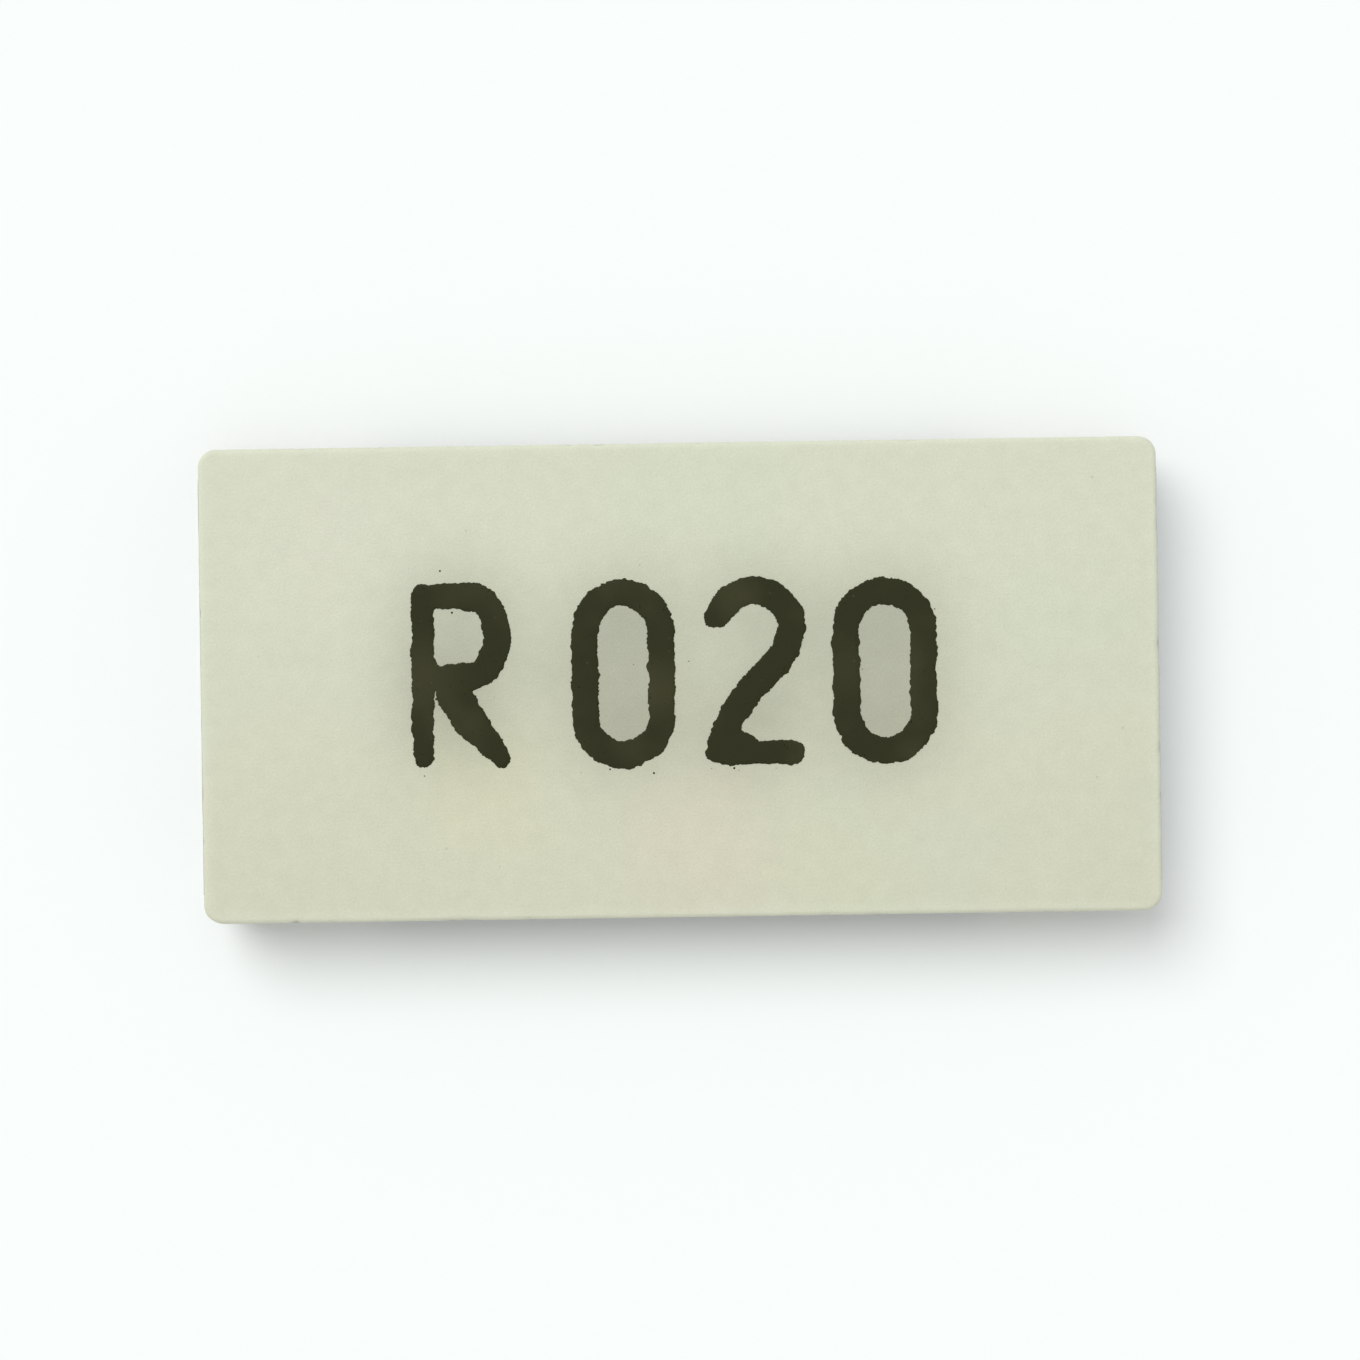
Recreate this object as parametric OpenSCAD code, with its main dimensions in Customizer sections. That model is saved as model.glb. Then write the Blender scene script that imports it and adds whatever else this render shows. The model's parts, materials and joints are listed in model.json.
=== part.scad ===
/* [Chip] */
// Length over the plated ends, in mm
chip_length = 6.30; // [6.10:0.01:6.50]
// Width across the long edges, in mm
chip_width = 3.10; // [2.95:0.01:3.25]
// Radius of the four upright corners of the ceramic
corner_radius = 0.12; // [0.06:0.01:0.14]
// Radius of the worn edge round the marked top face
top_edge_radius = 0.03; // [0.02:0.005:0.05]

/* [Layers] */
// Thickness of the ceramic plate
ceramic_thickness = 0.50; // [0.40:0.01:0.60]
// Thickness of the film that bonds the foil to the ceramic
film_thickness = 0.03; // [0.02:0.005:0.05]
// Thickness of the resistance foil
foil_thickness = 0.15; // [0.12:0.01:0.18]
// Thickness of the resin below the foil
overcoat_thickness = 0.04; // [0.03:0.005:0.045]
// Thickness of each copper pad, a little more than the resin
copper_thickness = 0.05; // [0.05:0.005:0.07]
// Thickness of the nickel over the copper and the ceramic's end
nickel_thickness = 0.008; // [0.005:0.001:0.010]
// Thickness of the tin over the nickel
tin_thickness = 0.012; // [0.008:0.001:0.015]

/* [Terminals] */
// Length of each copper pad, measured in from the ceramic's end
pad_length = 1.10; // [0.90:0.05:1.30]
// Share of the ceramic's thickness that the end plating climbs
end_climb = 0.75; // [0.50:0.05:0.85]

/* [Foil] */
// Resistance between the two pads, in milliohms
resistance = 20; // [16:1:22]
// Resistivity of the copper-nickel foil, in micro-ohm metres
resistivity = 0.49; // [0.48:0.01:0.50]
// Gap from each long edge of the chip to the foil
foil_inset = 0.10; // [0.10:0.01:0.15]
// Width of each etched slit
slit_width = 0.15; // [0.12:0.01:0.20]
// Radius of the bite that trims the foil to its final resistance
trim_radius = 0.16; // [0.08:0.01:0.20]

/* [Smoothness] */
// Sides of a full circle
$fn = 48; // [32:8:64]

/* [Hidden] */

// Far more than any size of the chip, for cuts that run out of it
far = 10;

// Heights of the layers, from the face that is soldered upwards
plating = nickel_thickness + tin_thickness;
copper_bottom = plating;
foil_bottom = copper_bottom + copper_thickness;
overcoat_bottom = foil_bottom - overcoat_thickness;
foil_top = foil_bottom + foil_thickness;
ceramic_bottom = foil_top + film_thickness;
ceramic_top = ceramic_bottom + ceramic_thickness;
plating_top = ceramic_bottom + end_climb * ceramic_thickness;

// The ceramic is shorter than the chip by the plating on its two ends
ceramic_length = chip_length - 2 * plating;
ceramic_end = ceramic_length / 2;
pad_inner = ceramic_end - pad_length;
foil_width = chip_width - 2 * foil_inset;

// The film and the resin stop just inside the ceramic's long edges
film_inset = 0.03;
overcoat_inset = 0.05;
film_width = chip_width - 2 * film_inset;
overcoat_width = chip_width - 2 * overcoat_inset;
overcoat_edge_radius = 0.03;

// Roundness of the copper's lower edges, which the plating follows
pad_edge_radius = 0.02;

// Slits from alternate long edges fold the current's path. Its length is counted in squares,
// because each square of foil has the resistance resistivity / foil_thickness. Half a square
// is at each pad, two corners of 0.56 square lie between slits, and each tip adds 0.24. The
// strips between the slits make up the rest, and that sets how deep the slits go.
slit_count = 3;
slit_pitch = 2 * pad_inner / slit_count;
strip_width = slit_pitch - slit_width;
squares_wanted = resistance * foil_thickness / resistivity;
squares_at_pads = 2 * 0.5;
squares_at_corners = (slit_count - 1) * 2 * 0.56;
squares_at_tips = slit_count * 0.24;
squares_in_strips = squares_wanted - squares_at_pads - squares_at_corners - squares_at_tips;
strip_length = squares_in_strips * strip_width / (slit_count - 1);
narrowest_neck = 0.5;
slit_depth = min((foil_width + strip_length) / 2, foil_width - narrowest_neck);

// Rectangle centred on the origin with corners of true arcs
module rounded_rectangle(size_x, size_y, radius) {
    square([size_x - 2 * radius, size_y], center = true);
    square([size_x, size_y - 2 * radius], center = true);
    for (sx = [-1, 1], sy = [-1, 1])
        translate([sx * (size_x / 2 - radius), sy * (size_y / 2 - radius)])
            circle(radius);
}

// Everything between two heights, to cut a layer out of a taller solid
module slab(low, high) {
    translate([-far, -far, low]) cube([2 * far, 2 * far, high - low]);
}

// Solid with its long edges and its end edges rounded, from the height low up to high
module rounded_block(length, width, low, high, plan_radius, edge_radius) {
    middle = (low + high) / 2;
    intersection() {
        translate([0, 0, low])
            linear_extrude(high - low) rounded_rectangle(length, width, plan_radius);
        translate([0, far / 2, middle]) rotate([90, 0, 0])
            linear_extrude(far) rounded_rectangle(length, high - low, edge_radius);
        translate([-far / 2, 0, middle]) rotate([90, 0, 90])
            linear_extrude(far) rounded_rectangle(width, high - low, edge_radius);
    }
}

// Outline of the foil seen from above, with its slits and the trimming bite
module foil_outline() {
    difference() {
        rounded_rectangle(ceramic_length, foil_width, corner_radius);
        for (i = [0 : slit_count - 1])
            translate([(i - (slit_count - 1) / 2) * slit_pitch, 0])
                mirror([0, i % 2]) foil_slit();
        // The bite is over the tip of the middle slit, where the current is narrowest
        translate([0, foil_width / 2]) circle(trim_radius);
    }
}

// One slit from the upper long edge of the foil, with a round tip
module foil_slit() {
    tip = foil_width / 2 - slit_depth + slit_width / 2;
    translate([-slit_width / 2, tip]) square([slit_width, foil_width / 2 - tip + far]);
    translate([0, tip]) circle(slit_width / 2);
}

// What the right end measures once a layer of the given thickness covers it. The block runs
// from the pad's inner edge out past the ceramic's end, and up to the height of the plating.
module right_end(cover) {
    inner = pad_inner - cover;
    outer = ceramic_end + cover;
    low = copper_bottom - cover;
    high = plating_top + cover;
    width = foil_width + 2 * cover;
    intersection() {
        translate([outer - chip_length / 2, 0, 0])
            rounded_block(chip_length, width, low, high,
                          corner_radius + cover, pad_edge_radius + cover);
        translate([inner + far / 2, 0, (low + high) / 2]) rotate([90, 0, 0])
            linear_extrude(far, center = true)
                rounded_rectangle(far, high - low, pad_edge_radius + cover);
    }
}

// What no plating can enter: the ceramic and film above the pad, and the resin beside it
module right_end_insulation() {
    translate([-far, -far / 2, foil_top]) cube([far + ceramic_end, far, far]);
    translate([-far, -far / 2, overcoat_bottom]) cube([far + pad_inner, far, far]);
}

// One coat of plating, between the thickness already there and the thickness after it
module right_coat(before, after) {
    difference() {
        right_end(after);
        right_end(before);
        right_end_insulation();
    }
}

// Sends a part of the right end to the left end
module left_end() {
    mirror([1, 0, 0]) children();
}

// Alumina plate that carries the foil and is the top of the chip
module ceramic_substrate() {
    color("#e4e5d2")
    intersection() {
        // The lower edges stay sharp, so the rounded solid reaches down past them
        rounded_block(ceramic_length, chip_width, ceramic_bottom - ceramic_thickness,
                      ceramic_top, corner_radius, top_edge_radius);
        slab(ceramic_bottom, ceramic_top);
    }
}

// Film of resin between the ceramic and the foil
module bonding_film() {
    color("#b98a3c")
    translate([0, 0, foil_top])
        linear_extrude(film_thickness)
            rounded_rectangle(ceramic_length, film_width, corner_radius);
}

// Copper-nickel foil that makes the resistance
module resistance_foil() {
    color("#c7a98b")
    translate([0, 0, foil_bottom]) linear_extrude(foil_thickness) foil_outline();
}

// Resin below the foil between the pads, down in its slits and along its long edges
module protective_overcoat() {
    color("#22261f")
    difference() {
        intersection() {
            rounded_block(far, overcoat_width, overcoat_bottom, foil_top + foil_thickness,
                          overcoat_edge_radius, overcoat_edge_radius);
            translate([-pad_inner, -far / 2, 0]) cube([2 * pad_inner, far, foil_top]);
        }
        translate([0, 0, foil_bottom]) linear_extrude(far) foil_outline();
    }
}

// Copper built up on the foil's end
module copper_pad_right() {
    color("#c8764a")
    intersection() {
        right_end(0);
        slab(copper_bottom, foil_bottom);
    }
}
module copper_pad_left() left_end() copper_pad_right();

// Nickel that keeps the solder from the copper
module nickel_barrier_right() {
    color("#b9b5a6") right_coat(0, nickel_thickness);
}
module nickel_barrier_left() left_end() nickel_barrier_right();

// Matte tin that takes the solder
module tin_coat_right() {
    color("#c9cacb") right_coat(nickel_thickness, plating);
}
module tin_coat_left() left_end() tin_coat_right();

ceramic_substrate();
bonding_film();
resistance_foil();
protective_overcoat();
copper_pad_left();
copper_pad_right();
nickel_barrier_left();
nickel_barrier_right();
tin_coat_left();
tin_coat_right();
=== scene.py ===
import json
import math

import bmesh
import bpy
import numpy as np
from mathutils import Matrix, Vector, noise

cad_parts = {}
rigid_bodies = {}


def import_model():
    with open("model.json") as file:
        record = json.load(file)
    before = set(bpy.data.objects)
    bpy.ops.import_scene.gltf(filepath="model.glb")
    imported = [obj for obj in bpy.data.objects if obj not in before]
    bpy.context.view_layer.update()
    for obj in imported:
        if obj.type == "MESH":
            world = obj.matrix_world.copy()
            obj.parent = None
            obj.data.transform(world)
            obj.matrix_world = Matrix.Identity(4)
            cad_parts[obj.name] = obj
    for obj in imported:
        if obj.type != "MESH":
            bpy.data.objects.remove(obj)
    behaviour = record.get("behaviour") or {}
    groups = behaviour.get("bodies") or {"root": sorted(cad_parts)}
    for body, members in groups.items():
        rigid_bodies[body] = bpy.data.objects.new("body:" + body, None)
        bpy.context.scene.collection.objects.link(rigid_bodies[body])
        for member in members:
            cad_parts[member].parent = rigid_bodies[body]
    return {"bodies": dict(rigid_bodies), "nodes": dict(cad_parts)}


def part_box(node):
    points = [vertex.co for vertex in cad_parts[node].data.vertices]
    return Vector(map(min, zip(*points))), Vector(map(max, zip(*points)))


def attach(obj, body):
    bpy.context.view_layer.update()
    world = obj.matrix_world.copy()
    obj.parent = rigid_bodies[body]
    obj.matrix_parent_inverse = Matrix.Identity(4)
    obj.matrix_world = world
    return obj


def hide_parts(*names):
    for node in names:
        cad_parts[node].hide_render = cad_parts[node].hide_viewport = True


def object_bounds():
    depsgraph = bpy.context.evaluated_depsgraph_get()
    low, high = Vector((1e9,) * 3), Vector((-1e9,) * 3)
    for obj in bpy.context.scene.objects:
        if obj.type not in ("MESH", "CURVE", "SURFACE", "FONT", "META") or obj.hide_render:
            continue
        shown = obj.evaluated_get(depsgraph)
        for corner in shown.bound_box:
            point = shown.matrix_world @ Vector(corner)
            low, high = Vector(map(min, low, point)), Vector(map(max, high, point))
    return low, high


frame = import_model()
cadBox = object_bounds()

scene = bpy.context.scene
for extra in list(bpy.data.objects):  # the start-up cube, lamp and camera, if there are any
    if extra not in frame["nodes"].values() and extra not in frame["bodies"].values():
        bpy.data.objects.remove(extra)
print("frame loaded:", len(frame["nodes"]), "nodes")

# Sizes below are in millimetres, and meshes are scaled to metres when they are made
mm = 0.001


def boxOf(node):
    low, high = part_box(node)
    return [value / mm for value in low], [value / mm for value in high]


def linear(red, green, blue):
    # a colour as a picture gives it, from 0 to 255, made linear
    channels = []
    for value in (red / 255, green / 255, blue / 255):
        channels.append(value / 12.92 if value <= 0.04045 else ((value + 0.055) / 1.055) ** 2.4)
    return (*channels, 1.0)


def layeredNoise(place, falloff=0.5):
    # three layers, each twice as fine as the one before
    return noise.fractal(place, falloff, 2.0, 3)


def plug(tree, socket, value):
    if isinstance(value, bpy.types.NodeSocket):
        tree.links.new(value, socket)
    else:
        socket.default_value = value


def makeNode(tree, kind, values=None, **settings):
    # values go to inputs by name or number, and may be other nodes' outputs
    node = tree.nodes.new(kind)
    for key, value in settings.items():
        setattr(node, key, value)
    for key, value in (values or {}).items():
        plug(tree, node.inputs[key], value)
    return node


def maths(tree, operation, *values):
    return makeNode(tree, "ShaderNodeMath", dict(enumerate(values)), operation=operation).outputs[0]


def vectorMaths(tree, operation, first, second):
    return makeNode(tree, "ShaderNodeVectorMath", {0: first, 1: second}, operation=operation).outputs[0]


def combined(tree, x=0.0, y=0.0, z=0.0):
    return makeNode(tree, "ShaderNodeCombineXYZ", {0: x, 1: y, 2: z}).outputs[0]


def separated(tree, vector):
    return makeNode(tree, "ShaderNodeSeparateXYZ", {0: vector}).outputs


def distanceTo(tree, place, spot):
    node = makeNode(tree, "ShaderNodeVectorMath", {0: place, 1: spot}, operation="DISTANCE")
    return node.outputs["Value"]


def fade(tree, value, low, high, toLow=0.0, toHigh=1.0):
    # a soft step as value goes from low to high
    return makeNode(tree, "ShaderNodeMapRange", {
        "Value": value, "From Min": low, "From Max": high, "To Min": toLow, "To Max": toHigh,
    }, interpolation_type="SMOOTHSTEP").outputs["Result"]


def mixColour(tree, factor, first, second, blend="MIX"):
    # the Mix node keeps its colours in sockets 6, 7 and 2, behind those for numbers and vectors
    return makeNode(tree, "ShaderNodeMix", {0: factor, 6: first, 7: second},
                    data_type="RGBA", blend_type=blend).outputs[2]


def noiseOf(tree, vector, scale, detail=2.0, rough=0.5):
    return makeNode(tree, "ShaderNodeTexNoise", {
        "Vector": vector, "Scale": scale, "Detail": detail, "Roughness": rough,
    }).outputs[0]


view = {
    "lens": 85.0,
    "sensorWidth": 36.0,
    "chipShare": 0.71,  # share of the picture's width that the chip takes
    "roll": -0.85,  # degrees, because the chip lies a little turned in the picture
    "skyLevel": 0.6,
    "sunLevel": 0.4,  # with the sky this lights a level surface at 1, so colours come out as written
    "sunTowards": (-0.50, 0.62, 1.25),
    "sunSpread": 38.0,  # degrees across the sun, for soft shadows
    "pale": linear(250, 254, 253),
    "floorRadius": 0.25,  # metres
    "floorSides": 96,
    "floorGap": 0.001,  # how far the floor lies below the chip
}

cameraData = bpy.data.cameras.new("camera")
cameraData.lens = view["lens"]
cameraData.sensor_width = view["sensorWidth"]
camera = bpy.data.objects.new("camera", cameraData)
scene.collection.objects.link(camera)
chipLength = cadBox[1].x - cadBox[0].x
seenWidth = chipLength / view["chipShare"]
cameraHeight = cadBox[1].z + seenWidth / 2 / (cameraData.sensor_width / 2 / view["lens"])
camera.location = (0.0, 0.0, cameraHeight)  # straight down, with +Y up in the picture
camera.rotation_euler = (0.0, 0.0, math.radians(view["roll"]))
cameraData.clip_start = cameraHeight * 0.1
cameraData.clip_end = 2.0  # metres, well past the floor's rim
bpy.context.scene.camera = camera

sunData = bpy.data.lights.new("sun", "SUN")
sunWay = Vector(view["sunTowards"]).normalized()
sunData.energy = view["sunLevel"] * math.pi / sunWay.z
sunData.angle = math.radians(view["sunSpread"])
sun = bpy.data.objects.new("sun", sunData)
sun.rotation_euler = sunWay.to_track_quat("Z", "Y").to_euler()
scene.collection.objects.link(sun)

world = bpy.data.worlds.new("sky")
world.use_nodes = True
scene.world = world
sky = world.node_tree
sky.nodes.clear()
rays = sky.nodes.new("ShaderNodeLightPath")
direct = maths(sky, "MAXIMUM", rays.outputs["Is Camera Ray"], rays.outputs["Is Glossy Ray"])
direct = maths(sky, "MAXIMUM", direct, rays.outputs["Is Transmission Ray"])
lighting = makeNode(sky, "ShaderNodeBackground", {"Color": (1, 1, 1, 1), "Strength": view["skyLevel"]})
backdrop = makeNode(sky, "ShaderNodeBackground", {"Color": view["pale"], "Strength": 1.0})
chosen = makeNode(sky, "ShaderNodeMixShader", {
    0: direct, 1: lighting.outputs[0], 2: backdrop.outputs[0],
})
makeNode(sky, "ShaderNodeOutputWorld", {"Surface": chosen.outputs[0]})

scene.view_settings.view_transform = "Standard"

floorMesh = bpy.data.meshes.new("floor")
floorTurns = [math.tau * k / view["floorSides"] for k in range(view["floorSides"])]
floorRim = [(view["floorRadius"] * math.cos(turn), view["floorRadius"] * math.sin(turn),
             -view["floorGap"] * mm) for turn in floorTurns]
floorMesh.from_pydata(floorRim, [], [list(range(view["floorSides"]))])
floor = bpy.data.objects.new("floor", floorMesh)
scene.collection.objects.link(floor)
floorMaterial = bpy.data.materials.new("paleFloor")
floorMaterial.use_nodes = True
floorShader = floorMaterial.node_tree.nodes["Principled BSDF"]
floorShader.inputs["Base Color"].default_value = view["pale"]
floorShader.inputs["Roughness"].default_value = 0.9
floorShader.inputs["Specular IOR Level"].default_value = 0.0
floorMesh.materials.append(floorMaterial)
print("camera, light and floor ready")


def newGroup(name, inputs, outputs):
    # an input whose value is None is a vector
    tree = bpy.data.node_groups.new(name, "ShaderNodeTree")
    for title, value in inputs.items():
        kind = "NodeSocketVector" if value is None else "NodeSocketFloat"
        socket = tree.interface.new_socket(title, in_out="INPUT", socket_type=kind)
        if value is not None:
            socket.default_value = value
    for title in outputs:
        tree.interface.new_socket(title, in_out="OUTPUT", socket_type="NodeSocketFloat")
    return tree, tree.nodes.new("NodeGroupInput").outputs, tree.nodes.new("NodeGroupOutput").inputs


def useGroup(tree, group, values):
    return makeNode(tree, "ShaderNodeGroup", values, node_tree=group).outputs


def makeGrainGroup():
    # fine grain as a height, slow clouds as a tone, and sparse round specks as a mask
    tree, given, out = newGroup("fineGrain", {
        "Vector": None, "Grain Size": 0.015, "Cloud Size": 0.6, "Speck Gap": 0.12, "Speck Size": 0.012,
    }, ["Height", "Cloud", "Specks"])
    grainScale = maths(tree, "DIVIDE", 1.0, given["Grain Size"])
    cloudScale = maths(tree, "DIVIDE", 1.0, given["Cloud Size"])
    speckScale = maths(tree, "DIVIDE", 1.0, given["Speck Gap"])
    plug(tree, out["Height"], noiseOf(tree, given["Vector"], grainScale, 3.0, 0.6))
    plug(tree, out["Cloud"], noiseOf(tree, given["Vector"], cloudScale, 2.0))
    cells = makeNode(tree, "ShaderNodeTexVoronoi", {"Vector": given["Vector"], "Scale": speckScale})
    away = maths(tree, "MULTIPLY", cells.outputs["Distance"], given["Speck Gap"])
    chance = separated(tree, cells.outputs["Color"])[0]  # each cell's own, and half get no speck
    size = maths(tree, "MULTIPLY", given["Speck Size"], fade(tree, chance, 0.55, 1.0))
    plug(tree, out["Specks"], maths(tree, "GREATER_THAN", size, away))
    return tree


def makeEdgeWearAndRimLightGroup():
    # 1 along the outer edges of a block that is centred on the origin and ends at the level given; on
    # the tin this band is wear, on the ceramic it is a painted highlight
    tree, given, out = newGroup("edgeWear", {
        "Vector": None, "Half Length": 3.0, "Half Width": 1.5, "Level": 0.0, "Fade": 0.1,
    }, ["Wear"])
    place = separated(tree, given["Vector"])
    fromEnd = maths(tree, "SUBTRACT", given["Half Length"], maths(tree, "ABSOLUTE", place[0]))
    fromSide = maths(tree, "SUBTRACT", given["Half Width"], maths(tree, "ABSOLUTE", place[1]))
    fromLevel = maths(tree, "ABSOLUTE", maths(tree, "SUBTRACT", place[2], given["Level"]))
    # the second smallest of the three distances is small only where two faces meet
    nearer = maths(tree, "MINIMUM", fromEnd, fromSide)
    further = maths(tree, "MAXIMUM", fromEnd, fromSide)
    second = maths(tree, "MAXIMUM", nearer, maths(tree, "MINIMUM", further, fromLevel))
    # the band reaches 0.4 to 1.6 of the fade in from the edge
    uneven = maths(tree, "MULTIPLY_ADD", noiseOf(tree, given["Vector"], 5.0, 3.0), 1.2, 0.4)
    reach = maths(tree, "MULTIPLY", given["Fade"], uneven)
    plug(tree, out["Wear"], fade(tree, second, 0.0, reach, 1.0, 0.0))
    return tree


def makeStreakGroup():
    # long thin marks: rolling lines on metal, cutting lines on the ceramic's sides
    tree, given, out = newGroup("streaks", {
        "Vector": None, "Along X": 0.3, "Along Y": 0.3, "Along Z": 20.0, "Threshold": 0.6,
    }, ["Height", "Marks"])
    stretch = combined(tree, given["Along X"], given["Along Y"], given["Along Z"])
    stretched = vectorMaths(tree, "MULTIPLY", given["Vector"], stretch)
    lines = noiseOf(tree, stretched, 1.0, 4.0, 0.6)
    plug(tree, out["Height"], lines)
    whole = maths(tree, "ADD", given["Threshold"], 0.06)  # so the marks have soft ends
    plug(tree, out["Marks"], fade(tree, lines, given["Threshold"], whole))
    return tree


grainGroup = makeGrainGroup()
edgeWearAndRimLightGroup = makeEdgeWearAndRimLightGroup()
streakGroup = makeStreakGroup()


def newMaterial(name, shine):
    # shine: the values that are the same all over, set on the shader's own sockets
    material = bpy.data.materials.new(name)
    material.use_nodes = True
    tree = material.node_tree
    shader = tree.nodes["Principled BSDF"]
    for socket, value in shine.items():
        shader.inputs[socket].default_value = value
    source = tree.nodes.new("ShaderNodeTexCoord")
    inMm = makeNode(tree, "ShaderNodeVectorMath", {
        0: source.outputs["Object"], "Scale": 1 / mm,
    }, operation="SCALE").outputs[0]
    return material, tree, shader, inMm


def unevenShine(tree, shader, height, look):
    # the height is noise, which lies mostly between 0.3 and 0.7
    rough = fade(tree, height, 0.3, 0.7, look["roughLow"], look["roughHigh"])
    plug(tree, shader.inputs["Roughness"], rough)


def bump(tree, shader, height, depth, under=None):
    # a second bump is laid over the first one, which is then given as under
    values = {"Height": height, "Distance": depth * mm, "Strength": 1.0}
    if under is not None:
        values["Normal"] = under
    node = makeNode(tree, "ShaderNodeBump", values)
    plug(tree, shader.inputs["Normal"], node.outputs[0])
    return node.outputs[0]


print("shader groups ready")


marking = {
    "film": 0.006,  # how far the ink stands up
    "sink": 0.002,  # how far its underside reaches into the ceramic
    "pointGap": 0.008,
    "voxel": 0.011,
    "threshold": 0.3,
    "smoothing": 5,  # rounds that even out the steps of the voxels
    "ragged": 0.070,  # how far the edge of the ink wanders, and over what length
    "raggedSize": 0.085,
    "shoulder": 0.030,  # how quickly the film reaches its full height
    "speckGap": 0.09,  # between the places on a stroke that a speck is thrown from
    "speckReach": 0.20,
    "speckSize": 0.0075,
    "speckHeight": 0.4,  # share of the film's
    "sharpAngle": 60,
    "seed": 7,
}


def arc(centreX, centreY, halfX, halfY, start, stop, radius, steps=24):
    points = []
    for k in range(steps + 1):
        angle = math.radians(start + (stop - start) * k / steps)
        points.append((centreX + halfX * math.cos(angle), centreY + halfY * math.sin(angle), radius))
    return points


def oval(centreX, centreY, halfX, halfY, radius):
    straight = halfY - halfX
    top = arc(centreX, centreY + straight, halfX, halfX, 0, 180, radius)
    bottom = arc(centreX, centreY - straight, halfX, halfX, 180, 360, radius)
    return top + bottom + top[:1]


# centre and half sizes of the two noughts' pen lines
noughts = [(-0.37, 0.045, 0.25, 0.528), (1.338, 0.043, 0.252, 0.522)]

# each stroke is a row of points: x, y and the pen's radius there
strokes = [
    # R: stem, bowl, leg
    [(-1.674, 0.575, 0.078), (-1.68, 0.02, 0.078), (-1.682, -0.485, 0.068)],
    [(-1.674, 0.57, 0.078), (-1.45, 0.567, 0.083)]
    + arc(-1.365, 0.305, 0.175, 0.26, 90, -90, 0.092)
    + [(-1.64, 0.04, 0.08)],
    [(-1.475, -0.06, 0.125), (-1.402, -0.21, 0.115), (-1.298, -0.34, 0.097), (-1.172, -0.49, 0.066)],
    # 2: hook and sweep, foot, and the ink that fills the angle between them
    [(0.228, 0.40, 0.075)]
    + arc(0.49, 0.325, 0.245, 0.257, 150, 0, 0.092)
    + [(0.702, 0.207, 0.095), (0.626, 0.098, 0.095), (0.484, -0.036, 0.093),
       (0.367, -0.195, 0.091), (0.28, -0.344, 0.089), (0.241, -0.474, 0.082)],
    [(0.234, -0.478, 0.08), (0.738, -0.483, 0.078)],
    [(0.32, -0.365, 0.07), (0.48, -0.445, 0.05)],
] + [oval(*nought, 0.09) for nought in noughts]


def inkDistance(x, y):
    # distance from each place to the nearest stroke's edge, below 0 in the ink
    nearest = np.full(x.shape, np.inf)
    for stroke in strokes:
        for (x0, y0, r0), (x1, y1, r1) in zip(stroke, stroke[1:]):
            dx = x1 - x0
            dy = y1 - y0
            square = max(dx * dx + dy * dy, 1e-12)  # above 0 where two points lie on each other too
            along = np.clip(((x - x0) * dx + (y - y0) * dy) / square, 0, 1)
            away = np.hypot(x - x0 - along * dx, y - y0 - along * dy) - (r0 + (r1 - r0) * along)
            nearest = np.minimum(nearest, away)
    return nearest


# Alumina is slightly translucent, so it looks darker beside the ink. That shade is painted
# into the ceramic's colour, and the insides of the noughts are painted darker as well
shadeNearInk = {
    "step": 0.015,  # between the points that it is worked out at, which reach this far out
    "reachX": 2.9,
    "reachY": 1.5,
    "blur": 0.22,
    "depth": 0.61,
    "counterShade": 0.12,
    "counterShadeEdge": 0.1,
    # two more places with a little painted shade: x, y, reach and strength
    "shadePools": [(0.60, -0.20, 0.28, 0.07), (-0.86, 0.05, 0.30, 0.045)],
    "poolFade": 1.5,  # a pool's reach over the width of the bell curve that it fades by
}


def blurredInk(gridX, gridY):
    cover = np.clip(0.5 - inkDistance(*np.meshgrid(gridX, gridY)) / shadeNearInk["step"], 0, 1)
    tapCount = int(3 * shadeNearInk["blur"] / shadeNearInk["step"])  # to each side, as far as three times the blur
    taps = np.arange(-tapCount, tapCount + 1) * shadeNearInk["step"]
    kernel = np.exp(-(taps / shadeNearInk["blur"]) ** 2 / 2)
    kernel /= kernel.sum()
    cover = np.apply_along_axis(np.convolve, 0, cover, kernel, "same")
    return np.apply_along_axis(np.convolve, 1, cover, kernel, "same")


def inkVeil(x, y):
    step = shadeNearInk["step"]
    gridX = np.arange(-shadeNearInk["reachX"], shadeNearInk["reachX"] + step, step)
    gridY = np.arange(-shadeNearInk["reachY"], shadeNearInk["reachY"] + step, step)
    cover = blurredInk(gridX, gridY)
    column = np.clip((x + shadeNearInk["reachX"]) / step, 0, len(gridX) - 2)
    row = np.clip((y + shadeNearInk["reachY"]) / step, 0, len(gridY) - 2)
    i = column.astype(int)
    j = row.astype(int)
    u = column - i
    v = row - j
    lower = cover[j, i] * (1 - u) + cover[j, i + 1] * u
    upper = cover[j + 1, i] * (1 - u) + cover[j + 1, i + 1] * u
    dark = shadeNearInk["depth"] * (lower * (1 - v) + upper * v)
    # painted shade inside the noughts, and then in the two further places
    for centreX, centreY, halfX, halfY in noughts:
        past = np.maximum(np.abs(y - centreY) - (halfY - halfX), 0)
        within = halfX - np.hypot(x - centreX, past)
        dark = dark + shadeNearInk["counterShade"] * np.clip(within / shadeNearInk["counterShadeEdge"], 0, 1)
    for poolX, poolY, reach, strength in shadeNearInk["shadePools"]:
        width = reach / shadeNearInk["poolFade"]
        dark = dark + strength * np.exp(-((x - poolX) ** 2 + (y - poolY) ** 2) / width ** 2)
    return dark


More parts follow.
